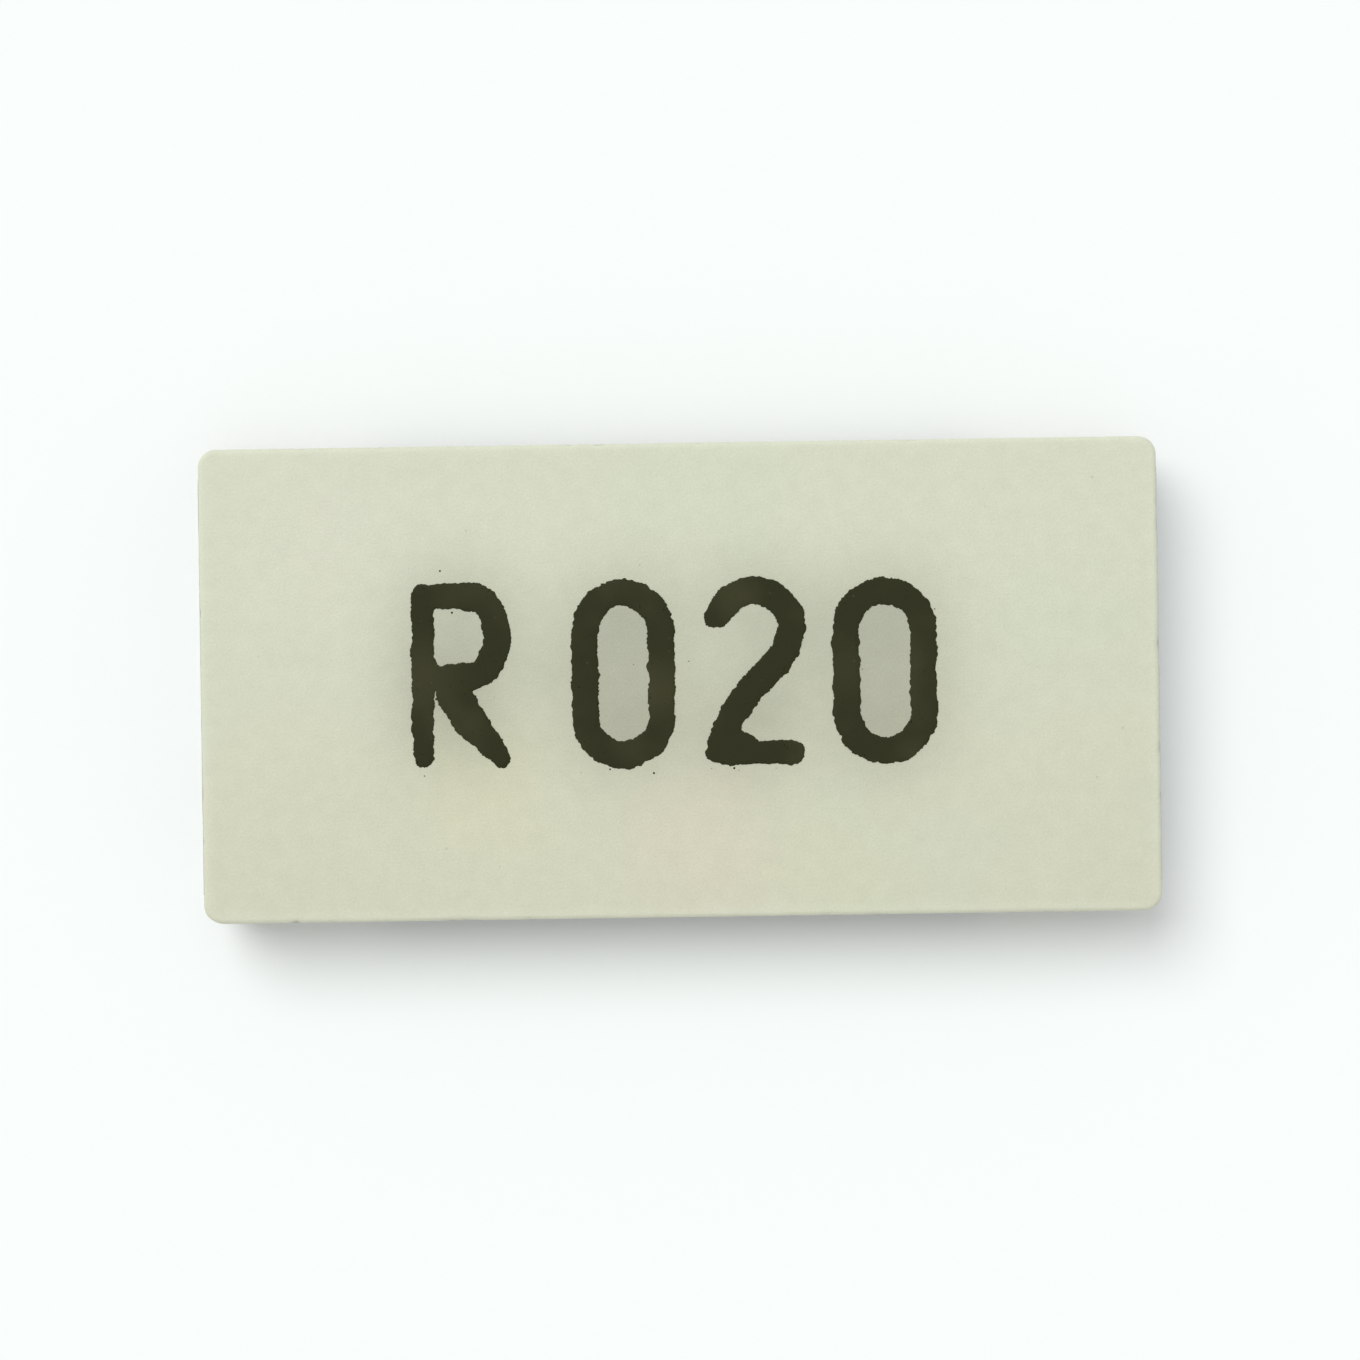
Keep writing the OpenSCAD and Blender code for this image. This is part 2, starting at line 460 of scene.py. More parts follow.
plate = {
    "cell": 0.03,
    "cornerRadius": 0.12,
    "cornerCells": 6,
    "ripple": 0.0008,  # how far the top rises and falls, and how often in a millimetre
    "rippleScale": 2.2,
    "edgeRadius": 0.03,
    "edgeSteps": 6,
    "edgeWear": 0.30,  # how unevenly the top edge is worn, and how often in a millimetre
    "edgeWearScale": 4,
    "wallStart": 1.35,  # edge radii below the top, past the deepest wear
    "wallRings": 17,
    "wallRough": 0.003,
    "wallScale": 9,  # of the roughness along the wall and down it
    "wallScaleDown": 30,
    "lowerBreak": 0.005,
    "nicks": 46,
    "nickDepth": 0.013,
    "nickWidth": 0.050,
    "nickDrop": 0.8,  # how far down a nick goes for its depth
    "leastWidth": 0.4,  # the smallest nick's share of the width, and of the depth before squaring
    "leastDepth": 0.15,
    "lowerNickDepth": 0.026,
    "lowerNickWidth": 0.080,
    "lowerNickHeight": 0.05,
    "wholeEnd": 0.1,  # the lower nicks fade over this length, because the plated ends are whole
    "sharpAngle": 50,
    "seed": 3,
}


def gridLines(half, corner):
    inner = half - corner
    ends = corner * np.arange(plate["cornerCells"]) / plate["cornerCells"]
    middle = np.linspace(-inner, inner, round(2 * inner / plate["cell"]) + 1)
    return np.concatenate([-half + ends, middle, (half - ends)[::-1]])


def bendCorners(x, y, innerX, innerY, corner):
    # takes the square corners of a grid to quarter circles
    u = np.clip((np.abs(x) - innerX) / corner, 0, 1)
    v = np.clip((np.abs(y) - innerY) / corner, 0, 1)
    both = (u > 0) & (v > 0)
    bentX = np.sign(x) * (innerX + corner * u * np.sqrt(1 - v * v / 2))
    bentY = np.sign(y) * (innerY + corner * v * np.sqrt(1 - u * u / 2))
    return np.where(both, bentX, x), np.where(both, bentY, y)


def outward(place, inner):
    # how far a place on the outline is past the middle of its corner's arc, or 0 on a straight edge
    return np.where(np.abs(place) > inner + 1e-6, place - np.sign(place) * inner, 0)


def edgeNicks(random, along, whole, width, depth):
    # small chips knocked out of an edge, as how deep each place along it is cut
    cut = np.zeros(len(along))
    for place, wide, deep in zip(random.uniform(0, whole, plate["nicks"]),
                                 random.uniform(plate["leastWidth"], 1.0, plate["nicks"]) * width,
                                 random.uniform(plate["leastDepth"], 1.0, plate["nicks"]) ** 2 * depth):
        away = np.abs(along - place)
        away = np.minimum(away, whole - away)
        cut = np.maximum(cut, deep * np.clip(1 - (away / wide) ** 2, 0, 1))
    return cut


def plateRings(outline, top, bottom, upperNicks, lowerNicks):
    # the rounded edge and the wall from the top down, each ring as its distances out and heights
    radius = plate["edgeRadius"]
    wearScale = plate["edgeWearScale"]
    wallScale = plate["wallScale"]
    wear = np.array([1 + plate["edgeWear"] * noise.noise((x * wearScale, y * wearScale, 1.0))
                     for x, y in outline])
    rings = []
    for k in range(1, plate["edgeSteps"] + 1):
        angle = math.pi / 2 * k / plate["edgeSteps"]
        offset = radius * math.sin(angle) - upperNicks * math.sin(angle)
        drop = radius * wear * (1 - math.cos(angle)) + upperNicks * math.sin(angle) * plate["nickDrop"]
        rings.append((offset, top - drop))
    start = top - radius * plate["wallStart"]
    for k in range(plate["wallRings"] + 1):
        height = start + (bottom + plate["lowerBreak"] - start) * k / plate["wallRings"]
        spots = [(x * wallScale, y * wallScale, height * plate["wallScaleDown"]) for x, y in outline]
        rough = np.array([layeredNoise(spot) for spot in spots])
        dent = plate["wallRough"] * np.clip(0.5 + rough * 0.5, 0, 1)
        chip = lowerNicks * max(0.0, 1 - (height - bottom) / plate["lowerNickHeight"])
        rings.append((radius - dent - chip, np.full(len(outline), height)))
    rings.append((radius - plate["lowerBreak"] - lowerNicks, np.full(len(outline), bottom)))
    return rings


def plateMesh():
    low, high = boxOf("ceramic_substrate")
    top = high[2] - marking["film"]
    radius = plate["edgeRadius"]
    corner = plate["cornerRadius"] - radius
    innerX = high[0] - plate["cornerRadius"]
    innerY = high[1] - plate["cornerRadius"]
    random = np.random.default_rng(plate["seed"])

    linesX = gridLines(high[0] - radius, corner)
    linesY = gridLines(high[1] - radius, corner)
    nx = len(linesX)
    ny = len(linesY)
    x, y = bendCorners(*np.meshgrid(linesX, linesY), innerX, innerY, corner)
    scale = plate["rippleScale"]
    places = [(px, py, top + plate["ripple"] * noise.noise((px * scale, py * scale, 5.0)))
              for px, py in zip(x.ravel(), y.ravel())]

    index = np.arange(nx * ny).reshape(ny, nx)
    faces = [(index[j, i], index[j, i + 1], index[j + 1, i + 1], index[j + 1, i])
             for j in range(ny - 1) for i in range(nx - 1)]
    border = np.concatenate([index[0, :-1], index[:-1, -1], index[-1, :0:-1], index[:0:-1, 0]])
    around = len(border)

    # outward direction and distance along the outline for each vertex of the border
    borderX = x.ravel()[border]
    borderY = y.ravel()[border]
    outX = outward(borderX, innerX)
    outY = outward(borderY, innerY)
    size = np.hypot(outX, outY)
    outX = outX / size
    outY = outY / size
    steps = np.hypot(np.roll(borderX, -1) - borderX, np.roll(borderY, -1) - borderY)
    along = np.concatenate([[0], np.cumsum(steps)[:-1]])
    whole = steps.sum()

    upperNicks = edgeNicks(random, along, whole, plate["nickWidth"], plate["nickDepth"])
    lowerNicks = edgeNicks(random, along, whole, plate["lowerNickWidth"], plate["lowerNickDepth"])
    lowerNicks *= np.clip((innerX - np.abs(borderX)) / plate["wholeEnd"], 0, 1)

    previous = border
    for offset, height in plateRings(list(zip(borderX, borderY)), top, low[2], upperNicks, lowerNicks):
        ring = np.arange(len(places), len(places) + around)
        places += list(zip(borderX + outX * offset, borderY + outY * offset, height))
        after = np.roll(ring, -1)
        before = np.roll(previous, -1)
        faces += [(previous[k], ring[k], after[k], before[k]) for k in range(around)]
        previous = ring

    # the underside is the same grid, with the last ring for its border
    under = np.full((ny, nx), -1)
    under.ravel()[border] = previous
    inside = np.argwhere(under < 0)
    under[inside[:, 0], inside[:, 1]] = np.arange(len(places), len(places) + len(inside))
    places += [(x[j, i], y[j, i], low[2]) for j, i in inside]
    faces += [(under[j, i], under[j + 1, i], under[j + 1, i + 1], under[j, i + 1])
              for j in range(ny - 1) for i in range(nx - 1)]

    mesh = bpy.data.meshes.new("ceramic_plate")
    mesh.from_pydata([(px * mm, py * mm, pz * mm) for px, py, pz in places], [],
                     [tuple(int(v) for v in face) for face in faces])
    mesh.update()
    cover = np.zeros(len(places), np.float32)
    cover[:nx * ny] = inkVeil(x.ravel(), y.ravel())
    mesh.attributes.new("inkVeil", "FLOAT", "POINT").data.foreach_set("value", cover)
    mesh.shade_smooth()
    mesh.set_sharp_from_angle(angle=math.radians(plate["sharpAngle"]))
    return mesh


plateLook = {
    # painted light: the ceramic is painted lighter towards its upper side (+y) and darker towards the
    # lower side
    "upper": linear(212, 216, 193),
    "lower": linear(208, 209, 186),
    "shadedUpTo": -1.5,  # the lower colour is whole up to this y, and the upper one from the next
    "litFrom": 1.2,
    "cool": linear(204, 212, 189),
    # painted highlight along the ceramic's top edges
    "rimLight": linear(222, 226, 207),
    "side": linear(205, 206, 187),
    "speck": linear(176, 174, 150),
    # the colour that the painted shade beside the ink darkens the ceramic towards
    "ink": linear(60, 61, 38),
    "coolShare": 0.35,
    "rimLightShare": 0.28,
    "speckShare": 0.35,
    # faint stains: x, y, reach, colour and strength
    "stains": [
        (0.15, -1.05, 0.75, linear(216, 205, 186), 0.40),
        (-1.30, -0.70, 0.80, linear(212, 211, 178), 0.40),
        (1.00, -1.20, 0.60, linear(208, 212, 178), 0.35),
        (-2.30, 1.00, 1.00, linear(216, 216, 198), 0.40),
    ],
    "wearAndRimLightReach": 0.11,
    "grainSize": 0.014,
    "mottleSize": 0.11,
    "cloudSize": 1.3,
    "grainTone": 0.11,
    "mottleTone": 0.055,
    "grainDepth": 0.0026,
    "lineDepth": 0.0060,
    "roughLow": 0.44,
    "roughHigh": 0.62,
}


def plateMaterial():
    look = plateLook
    material, tree, shader, place = newMaterial("alumina", {"Specular IOR Level": 0.35})
    grain = useGroup(tree, grainGroup, {
        "Vector": place, "Grain Size": look["grainSize"], "Cloud Size": look["cloudSize"],
        "Speck Gap": 0.17, "Speck Size": 0.011,
    })
    mottle = useGroup(tree, grainGroup, {
        "Vector": place, "Grain Size": look["mottleSize"], "Cloud Size": 0.4,
        "Speck Gap": 0.55, "Speck Size": 0.020,
    })
    high = boxOf("ceramic_substrate")[1]
    # on the ceramic the edge band is a painted highlight, which makes up for the shade on the rounded
    # top edge; it is not wear
    edgeWearAndRimLight = useGroup(tree, edgeWearAndRimLightGroup, {
        "Vector": place, "Half Length": high[0], "Half Width": high[1], "Level": high[2],
        "Fade": look["wearAndRimLightReach"],
    })["Wear"]
    xyz = separated(tree, place)
    # painted light, lighter towards +y
    paintedLightUpwards = fade(tree, xyz[1], look["shadedUpTo"], look["litFrom"])
    colour = mixColour(tree, paintedLightUpwards, look["lower"], look["upper"])
    cool = fade(tree, grain["Cloud"], 0.52, 0.75, 0.0, look["coolShare"])
    colour = mixColour(tree, cool, colour, look["cool"])
    for stainX, stainY, reach, tint, strength in look["stains"]:
        away = distanceTo(tree, place, (stainX, stainY, high[2]))
        inwards = maths(tree, "SUBTRACT", away, reach / 2)
        uneven = maths(tree, "MULTIPLY_ADD", mottle["Cloud"], reach, inwards)
        colour = mixColour(tree, fade(tree, uneven, reach, 0.0, 0.0, strength), colour, tint)
    onSide = fade(tree, xyz[2], high[2] - plate["edgeRadius"], high[2] - 2 * plate["edgeRadius"])
    colour = mixColour(tree, onSide, colour, look["side"])
    colour = mixColour(tree, maths(tree, "MULTIPLY", edgeWearAndRimLight, look["rimLightShare"]), colour, look["rimLight"])
    for height, tone in ((grain["Height"], look["grainTone"]), (mottle["Height"], look["mottleTone"])):
        level = maths(tree, "MULTIPLY_ADD", height, 2 * tone, 1.0 - tone)
        colour = mixColour(tree, 1.0, colour, level, "MULTIPLY")
    dots = maths(tree, "MAXIMUM", grain["Specks"], mottle["Specks"])
    colour = mixColour(tree, maths(tree, "MULTIPLY", dots, look["speckShare"]), colour, look["speck"])
    # painted shade beside the ink and inside the noughts
    dark = makeNode(tree, "ShaderNodeAttribute", attribute_name="inkVeil").outputs["Fac"]
    plug(tree, shader.inputs["Base Color"], mixColour(tree, dark, colour, look["ink"]))
    roughRange = look["roughHigh"] - look["roughLow"]
    rough = maths(tree, "MULTIPLY_ADD", grain["Height"], roughRange, look["roughLow"])
    plug(tree, shader.inputs["Roughness"], rough)
    lines = useGroup(tree, streakGroup, {
        "Vector": place, "Along X": 0.9, "Along Y": 0.9, "Along Z": 45.0,
    })
    cut = maths(tree, "MULTIPLY", lines["Height"], onSide)
    under = bump(tree, shader, cut, look["lineDepth"])
    bump(tree, shader, grain["Height"], look["grainDepth"], under)
    return material


ceramic = bpy.data.objects.new("ceramic_plate", plateMesh())
scene.collection.objects.link(ceramic)
ceramic.data.materials.append(plateMaterial())
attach(ceramic, "root")
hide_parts("ceramic_substrate")
print("ceramic plate:", len(ceramic.data.polygons), "faces")


inkLook = {
    "ink": linear(44, 45, 24),
    "thin": linear(80, 80, 55),
    # places where the ink is thin: x, y, reach and strength
    "thinned": [(-1.68, 0.05, 0.40, 0.30), (-0.12, -0.05, 0.32, 0.30), (1.09, 0.05, 0.32, 0.18)],
    "edgeLift": 0.30,  # how much lighter the ink's thin edge is
    "edgeShare": 0.35,  # it ends where this share of the film's rise is left
    "patchLift": 0.30,
    "speckLift": 0.35,
    "grainTone": 0.30,
    "grainDepth": 0.0008,
    "roughLow": 0.5,
    "roughHigh": 0.75,
}


def inkMaterial():
    look = inkLook
    material, tree, shader, place = newMaterial("marking_ink", {"Specular IOR Level": 0.10})
    grain = useGroup(tree, grainGroup, {
        "Vector": place, "Grain Size": 0.016, "Cloud Size": 0.45,
        "Speck Gap": 0.06, "Speck Size": 0.008,
    })
    height = separated(tree, place)[2]
    top = boxOf("ceramic_substrate")[1][2]
    full = top - marking["film"] * look["edgeShare"]
    edge = fade(tree, height, top - marking["film"], full, look["edgeLift"], 0.0)
    patch = fade(tree, grain["Cloud"], 0.40, 0.75, 0.0, look["patchLift"])
    lift = maths(tree, "MAXIMUM", edge, patch)
    for thinX, thinY, reach, strength in look["thinned"]:
        away = distanceTo(tree, place, (thinX, thinY, top))
        lift = maths(tree, "ADD", lift, fade(tree, away, reach, 0.0, 0.0, strength))
    lift = maths(tree, "MULTIPLY_ADD", grain["Height"], look["grainTone"],
                 maths(tree, "SUBTRACT", lift, look["grainTone"] / 2))
    colour = mixColour(tree, maths(tree, "MAXIMUM", lift, 0.0), look["ink"], look["thin"])
    flecks = maths(tree, "MULTIPLY", grain["Specks"], look["speckLift"])
    plug(tree, shader.inputs["Base Color"], mixColour(tree, flecks, colour, look["thin"]))
    unevenShine(tree, shader, grain["Height"], look)
    bump(tree, shader, grain["Height"], look["grainDepth"])
    return material


def movedTo(tree, geometry, **place):
    # place is Position or Offset
    return makeNode(tree, "GeometryNodeSetPosition", {"Geometry": geometry, **place}).outputs[0]


def pointsAlong(tree, curves, gap):
    evenly = makeNode(tree, "GeometryNodeResampleCurve", {
        "Curve": curves, "Length": gap,
    }, mode="LENGTH").outputs[0]
    return makeNode(tree, "GeometryNodeCurveToPoints", {"Curve": evenly}, mode="EVALUATED").outputs[0]


def inkFilm(tree, given, curves):
    # strokes become points with a radius, the points one volume, and the volume a flat film
    pen = makeNode(tree, "GeometryNodeInputNamedAttribute", {
        "Name": "penRadius",
    }, data_type="FLOAT").outputs[0]
    points = pointsAlong(tree, curves, given["Point Gap"])
    volume = makeNode(tree, "GeometryNodePointsToVolume", {
        "Points": points, "Radius": pen, "Voxel Size": given["Voxel"],
    }, resolution_mode="VOXEL_SIZE").outputs[0]
    skin = makeNode(tree, "GeometryNodeVolumeToMesh", {
        "Volume": volume, "Threshold": given["Threshold"],
    }, resolution_mode="GRID").outputs[0]

    place = tree.nodes.new("GeometryNodeInputPosition").outputs[0]
    evening = makeNode(tree, "GeometryNodeBlurAttribute", {
        "Iterations": given["Smoothing"],
    }, data_type="FLOAT_VECTOR")
    for socket in evening.inputs:
        if socket.name == "Value" and socket.type == "VECTOR":
            tree.links.new(place, socket)
    evened = [socket for socket in evening.outputs if socket.type == "VECTOR"][0]
    skin = movedTo(tree, skin, Position=evened)

    wobble = makeNode(tree, "ShaderNodeTexNoise", {
        "Vector": place, "Scale": maths(tree, "DIVIDE", 1.0, given["Ragged Size"]),
        "Detail": 2.0, "Roughness": 0.75, "Lacunarity": 3.0,
    }).outputs[1]
    wobble = separated(tree, wobble)
    xyz = separated(tree, place)
    newX = maths(tree, "MULTIPLY_ADD", maths(tree, "SUBTRACT", wobble[0], 0.5), given["Ragged"], xyz[0])
    newY = maths(tree, "MULTIPLY_ADD", maths(tree, "SUBTRACT", wobble[1], 0.5), given["Ragged"], xyz[1])
    rise = maths(tree, "TANH", maths(tree, "DIVIDE", xyz[2], given["Shoulder"]))
    above = maths(tree, "MULTIPLY", maths(tree, "MAXIMUM", rise, 0.0), given["Film"])
    below = maths(tree, "MULTIPLY", maths(tree, "MINIMUM", rise, 0.0), given["Sink"])
    newZ = maths(tree, "ADD", maths(tree, "ADD", above, below), given["Surface"])
    return movedTo(tree, skin, Position=combined(tree, newX, newY, newZ))


def inkSpecks(tree, given, curves):
    # tiny dots of ink thrown off the strokes
    reach = combined(tree, given["Speck Reach"], given["Speck Reach"])
    thrown = makeNode(tree, "FunctionNodeRandomValue", {
        0: (-1.0, -1.0, 0.0), 1: (1.0, 1.0, 0.0), "Seed": given["Seed"],
    }, data_type="FLOAT_VECTOR").outputs[0]
    thrown = vectorMaths(tree, "MULTIPLY", thrown, reach)
    thrown = vectorMaths(tree, "ADD", thrown, combined(tree, z=given["Surface"]))
    spots = movedTo(tree, pointsAlong(tree, curves, given["Speck Gap"]), Offset=thrown)
    dot = makeNode(tree, "GeometryNodeMeshIcoSphere", {"Radius": 1.0, "Subdivisions": 2}).outputs[0]
    chance = makeNode(tree, "FunctionNodeRandomValue", {
        2: 0.0, 3: 1.0, "Seed": maths(tree, "ADD", given["Seed"], 1.0),
    }, data_type="FLOAT").outputs[1]
    wide = maths(tree, "MULTIPLY", maths(tree, "POWER", chance, 3.0), given["Speck Size"])
    high = maths(tree, "MULTIPLY", given["Film"], given["Speck Height"])
    return makeNode(tree, "GeometryNodeInstanceOnPoints", {
        "Points": spots, "Instance": dot, "Scale": combined(tree, wide, wide, high),
    }).outputs[0]


def inkTree(values, material):
    # values name the tree's inputs, and say which of them are whole numbers
    tree = bpy.data.node_groups.new("inkFromStrokes", "GeometryNodeTree")
    tree.interface.new_socket("Geometry", in_out="INPUT", socket_type="NodeSocketGeometry")
    for title, value in values.items():
        kind = "NodeSocketInt" if isinstance(value, int) else "NodeSocketFloat"
        tree.interface.new_socket(title, in_out="INPUT", socket_type=kind)
    tree.interface.new_socket("Geometry", in_out="OUTPUT", socket_type="NodeSocketGeometry")
    given = tree.nodes.new("NodeGroupInput").outputs
    end = tree.nodes.new("NodeGroupOutput")

    curves = makeNode(tree, "GeometryNodeMeshToCurve", {"Mesh": given["Geometry"]}).outputs[0]
    joined = makeNode(tree, "GeometryNodeJoinGeometry")
    tree.links.new(inkFilm(tree, given, curves), joined.inputs[0])
    tree.links.new(inkSpecks(tree, given, curves), joined.inputs[0])
    scaled = makeNode(tree, "GeometryNodeTransform", {
        "Geometry": joined.outputs[0],
        "Scale": combined(tree, given["Metre"], given["Metre"], given["Metre"]),
    }).outputs[0]
    real = makeNode(tree, "GeometryNodeRealizeInstances", {"Geometry": scaled}).outputs[0]
    inked = makeNode(tree, "GeometryNodeSetMaterial", {"Geometry": real, "Material": material})
    plug(tree, end.inputs[0], inked.outputs[0])
    return tree


def plainMesh(piece, sharpAngle):
    # the modifiers' result becomes the piece's own mesh
    depsgraph = bpy.context.evaluated_depsgraph_get()
    mesh = bpy.data.meshes.new_from_object(piece.evaluated_get(depsgraph), depsgraph=depsgraph)
    mesh.name = piece.name
    piece.modifiers.clear()
    piece.data = mesh
    for k in reversed(range(len(mesh.materials))):
        if mesh.materials[k] is None:  # the mesh nodes leave an empty slot before the ink's
            mesh.materials.pop(index=k)
    mesh.shade_smooth()
    mesh.set_sharp_from_angle(angle=math.radians(sharpAngle))


def makeMarking():
    points = []
    edges = []
    radii = []
    for stroke in strokes:
        edges += [(len(points) + k, len(points) + k + 1) for k in range(len(stroke) - 1)]
        points += [(x, y, 0.0) for x, y, radius in stroke]
        radii += [radius for x, y, radius in stroke]
    mesh = bpy.data.meshes.new("marking_strokes")
    mesh.from_pydata(points, edges, [])
    mesh.attributes.new("penRadius", "FLOAT", "POINT").data.foreach_set("value", radii)
    piece = bpy.data.objects.new("resistance_marking", mesh)
    scene.collection.objects.link(piece)
    values = {
        "Point Gap": marking["pointGap"], "Voxel": marking["voxel"], "Threshold": marking["threshold"],
        "Smoothing": marking["smoothing"],
        "Ragged": marking["ragged"], "Ragged Size": marking["raggedSize"],
        "Shoulder": marking["shoulder"], "Film": marking["film"], "Sink": marking["sink"],
        "Surface": boxOf("ceramic_substrate")[1][2] - marking["film"],
        "Speck Gap": marking["speckGap"], "Speck Reach": marking["speckReach"],
        "Speck Size": marking["speckSize"], "Speck Height": marking["speckHeight"],
        "Metre": mm, "Seed": marking["seed"],
    }
    tree = inkTree(values, inkMaterial())
    modifier = piece.modifiers.new("ink", "NODES")
    modifier.node_group = tree
    for item in tree.interface.items_tree:
        if item.in_out == "INPUT" and item.name in values:
            modifier[item.identifier] = values[item.name]
    plainMesh(piece, marking["sharpAngle"])
    return piece


inkPrint = makeMarking()
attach(inkPrint, "root")
print("marking:", len(inkPrint.data.polygons), "faces")


# How a copy of a CAD node is made ready to be worked
copying = {
    "mergeWithin": 0.0002,
    "flatWithin": 0.5,  # degrees
    "cutWithin": 0.0005,
    "sharpAngle": 40,
}


def finerCopy(node, name, cell, alsoX=(), alsoY=()):
    # the node's mesh merged, and cut by planes a cell apart so that its surface can be worked
    bm = bmesh.new()
    bm.from_mesh(frame["nodes"][node].data)
    bm.transform(Matrix.Scale(1 / mm, 4))
    bmesh.ops.remove_doubles(bm, verts=bm.verts, dist=copying["mergeWithin"])
    bmesh.ops.dissolve_limit(bm, angle_limit=math.radians(copying["flatWithin"]),
                             verts=bm.verts, edges=bm.edges)
    low, high = boxOf(node)
    for axis, also in enumerate((alsoX, alsoY, ())):
        slices = max(1, round((high[axis] - low[axis]) / cell))
        cuts = [low[axis] + (high[axis] - low[axis]) * k / slices for k in range(1, slices)]
        way = [0.0, 0.0, 0.0]
        way[axis] = 1.0
        for cut in sorted(cuts + list(also)):
            place = [0.0, 0.0, 0.0]
            place[axis] = cut
            bmesh.ops.bisect_plane(bm, geom=bm.verts[:] + bm.edges[:] + bm.faces[:],
                                   dist=copying["cutWithin"], plane_co=place, plane_no=way)
    bmesh.ops.triangulate(bm, faces=[face for face in bm.faces if len(face.verts) > 4])
    bm.transform(Matrix.Scale(mm, 4))
    mesh = bpy.data.meshes.new(name)
    bm.to_mesh(mesh)
    bm.free()
    piece = bpy.data.objects.new(name, mesh)
    scene.collection.objects.link(piece)
    return piece


def readPoints(mesh):
    points = np.empty(len(mesh.vertices) * 3)
    mesh.vertices.foreach_get("co", points)
    return points.reshape(-1, 3) / mm


def writePoints(mesh, points):
    mesh.vertices.foreach_set("co", (points * mm).ravel())
    mesh.update()


def roughen(piece, amount, size, seed):
    # moves each point in along its normal, never out, so that the piece keeps within its solid
    mesh = piece.data
    points = readPoints(mesh)
    normals = np.empty(points.size)
    mesh.vertex_normals.foreach_get("vector", normals)
    dents = [layeredNoise((x / size + seed, y / size, z / size), 0.6) for x, y, z in points]
    dents = amount * np.clip(0.5 + 0.5 * np.array(dents), 0, 1)
    writePoints(mesh, points - normals.reshape(-1, 3) * dents[:, None])
    mesh.shade_smooth()
    mesh.set_sharp_from_angle(angle=math.radians(copying["sharpAngle"]))


def cutsRound(centres, count, gap):
    # places on both sides of each centre, for cuts that bring more points there
    return [centre + offset for centre in centres for offset in np.arange(-count, count + 1) * gap]


terminals = {
    # which way each terminal lies, and the seeds of its upper line and of its grain
    "sides": {"left": (-1, 3.0, 11), "right": (1, 9.0, 23)},
    "cell": 0.05,
    "grain": 0.0016,
    "grainSize": 0.05,
    "wave": 0.008,  # how far the plating's upper line wanders up and down
    "waveScale": 2.4,
    "waveFrom": 0.50,  # the height at which it starts, and over what height it grows to the full
    "waveGrows": 0.1,
    # marks of the test probes in each pad's underside: distance from the middle of the chip, and y
    "probes": [(2.46, 0.62), (2.50, -0.60), (2.84, 0.58), (2.80, -0.66)],
    "probeWidth": 0.075,
    "probeDepth": 0.008,
    "probeCell": 0.02,
    "probeCells": 5,  # to each side of a probe's middle
    "underside": 0.002,  # what lies lower than this is the pad's underside
    "tin": linear(190, 190, 186),
    "dull": linear(181, 180, 175),
    "bright": linear(222, 222, 219),
    "markShare": 0.35,
    "wearShare": 0.6,
    "speckShare": 0.5,
    "wearAndRimLightReach": 0.05,
    "grainDepth": 0.0022,
    "toneLow": 0.80,  # the fine grain multiplies the colour by this at its lowest
    "toneMore": 0.36,  # and by this much more at its highest
    "roughLow": 0.38,
    "roughHigh": 0.44,
    "roughWorn": -0.08,  # worn edges and marks are smoother
    "roughMarks": -0.10,
}


def tinMaterial():
    look = terminals
    material, tree, shader, place = newMaterial("matte_tin", {"Metallic": 1.0})
    grain = useGroup(tree, grainGroup, {
        "Vector": place, "Grain Size": 0.010, "Cloud Size": 0.70,
        "Speck Gap": 0.05, "Speck Size": 0.007,
    })
    high = boxOf("tin_coat_right")[1]
    edgeWearAndRimLight = useGroup(tree, edgeWearAndRimLightGroup, {
        "Vector": place, "Half Length": high[0], "Half Width": high[1], "Level": 0.0,
        "Fade": look["wearAndRimLightReach"],
    })["Wear"]
    marks = useGroup(tree, streakGroup, {
        "Vector": place, "Along X": 2.0, "Along Y": 26.0, "Along Z": 26.0, "Threshold": 0.62,
    })["Marks"]
    colour = mixColour(tree, fade(tree, grain["Cloud"], 0.35, 0.70), look["tin"], look["dull"])
    colour = mixColour(tree, maths(tree, "MULTIPLY", marks, look["markShare"]), colour, look["bright"])
    colour = mixColour(tree, maths(tree, "MULTIPLY", edgeWearAndRimLight, look["wearShare"]), colour, look["bright"])
    flecks = maths(tree, "MULTIPLY", grain["Specks"], look["speckShare"])
    colour = mixColour(tree, flecks, colour, look["dull"])
    tone = maths(tree, "MULTIPLY_ADD", grain["Height"], look["toneMore"], look["toneLow"])
    plug(tree, shader.inputs["Base Color"], mixColour(tree, 1.0, colour, tone, "MULTIPLY"))
    rough = fade(tree, grain["Cloud"], 0.3, 0.7, look["roughLow"], look["roughHigh"])
    rough = maths(tree, "MULTIPLY_ADD", edgeWearAndRimLight, look["roughWorn"], rough)
    rough = maths(tree, "MULTIPLY_ADD", marks, look["roughMarks"], rough)
    plug(tree, shader.inputs["Roughness"], rough)
    bump(tree, shader, grain["Height"], look["grainDepth"])
    return material


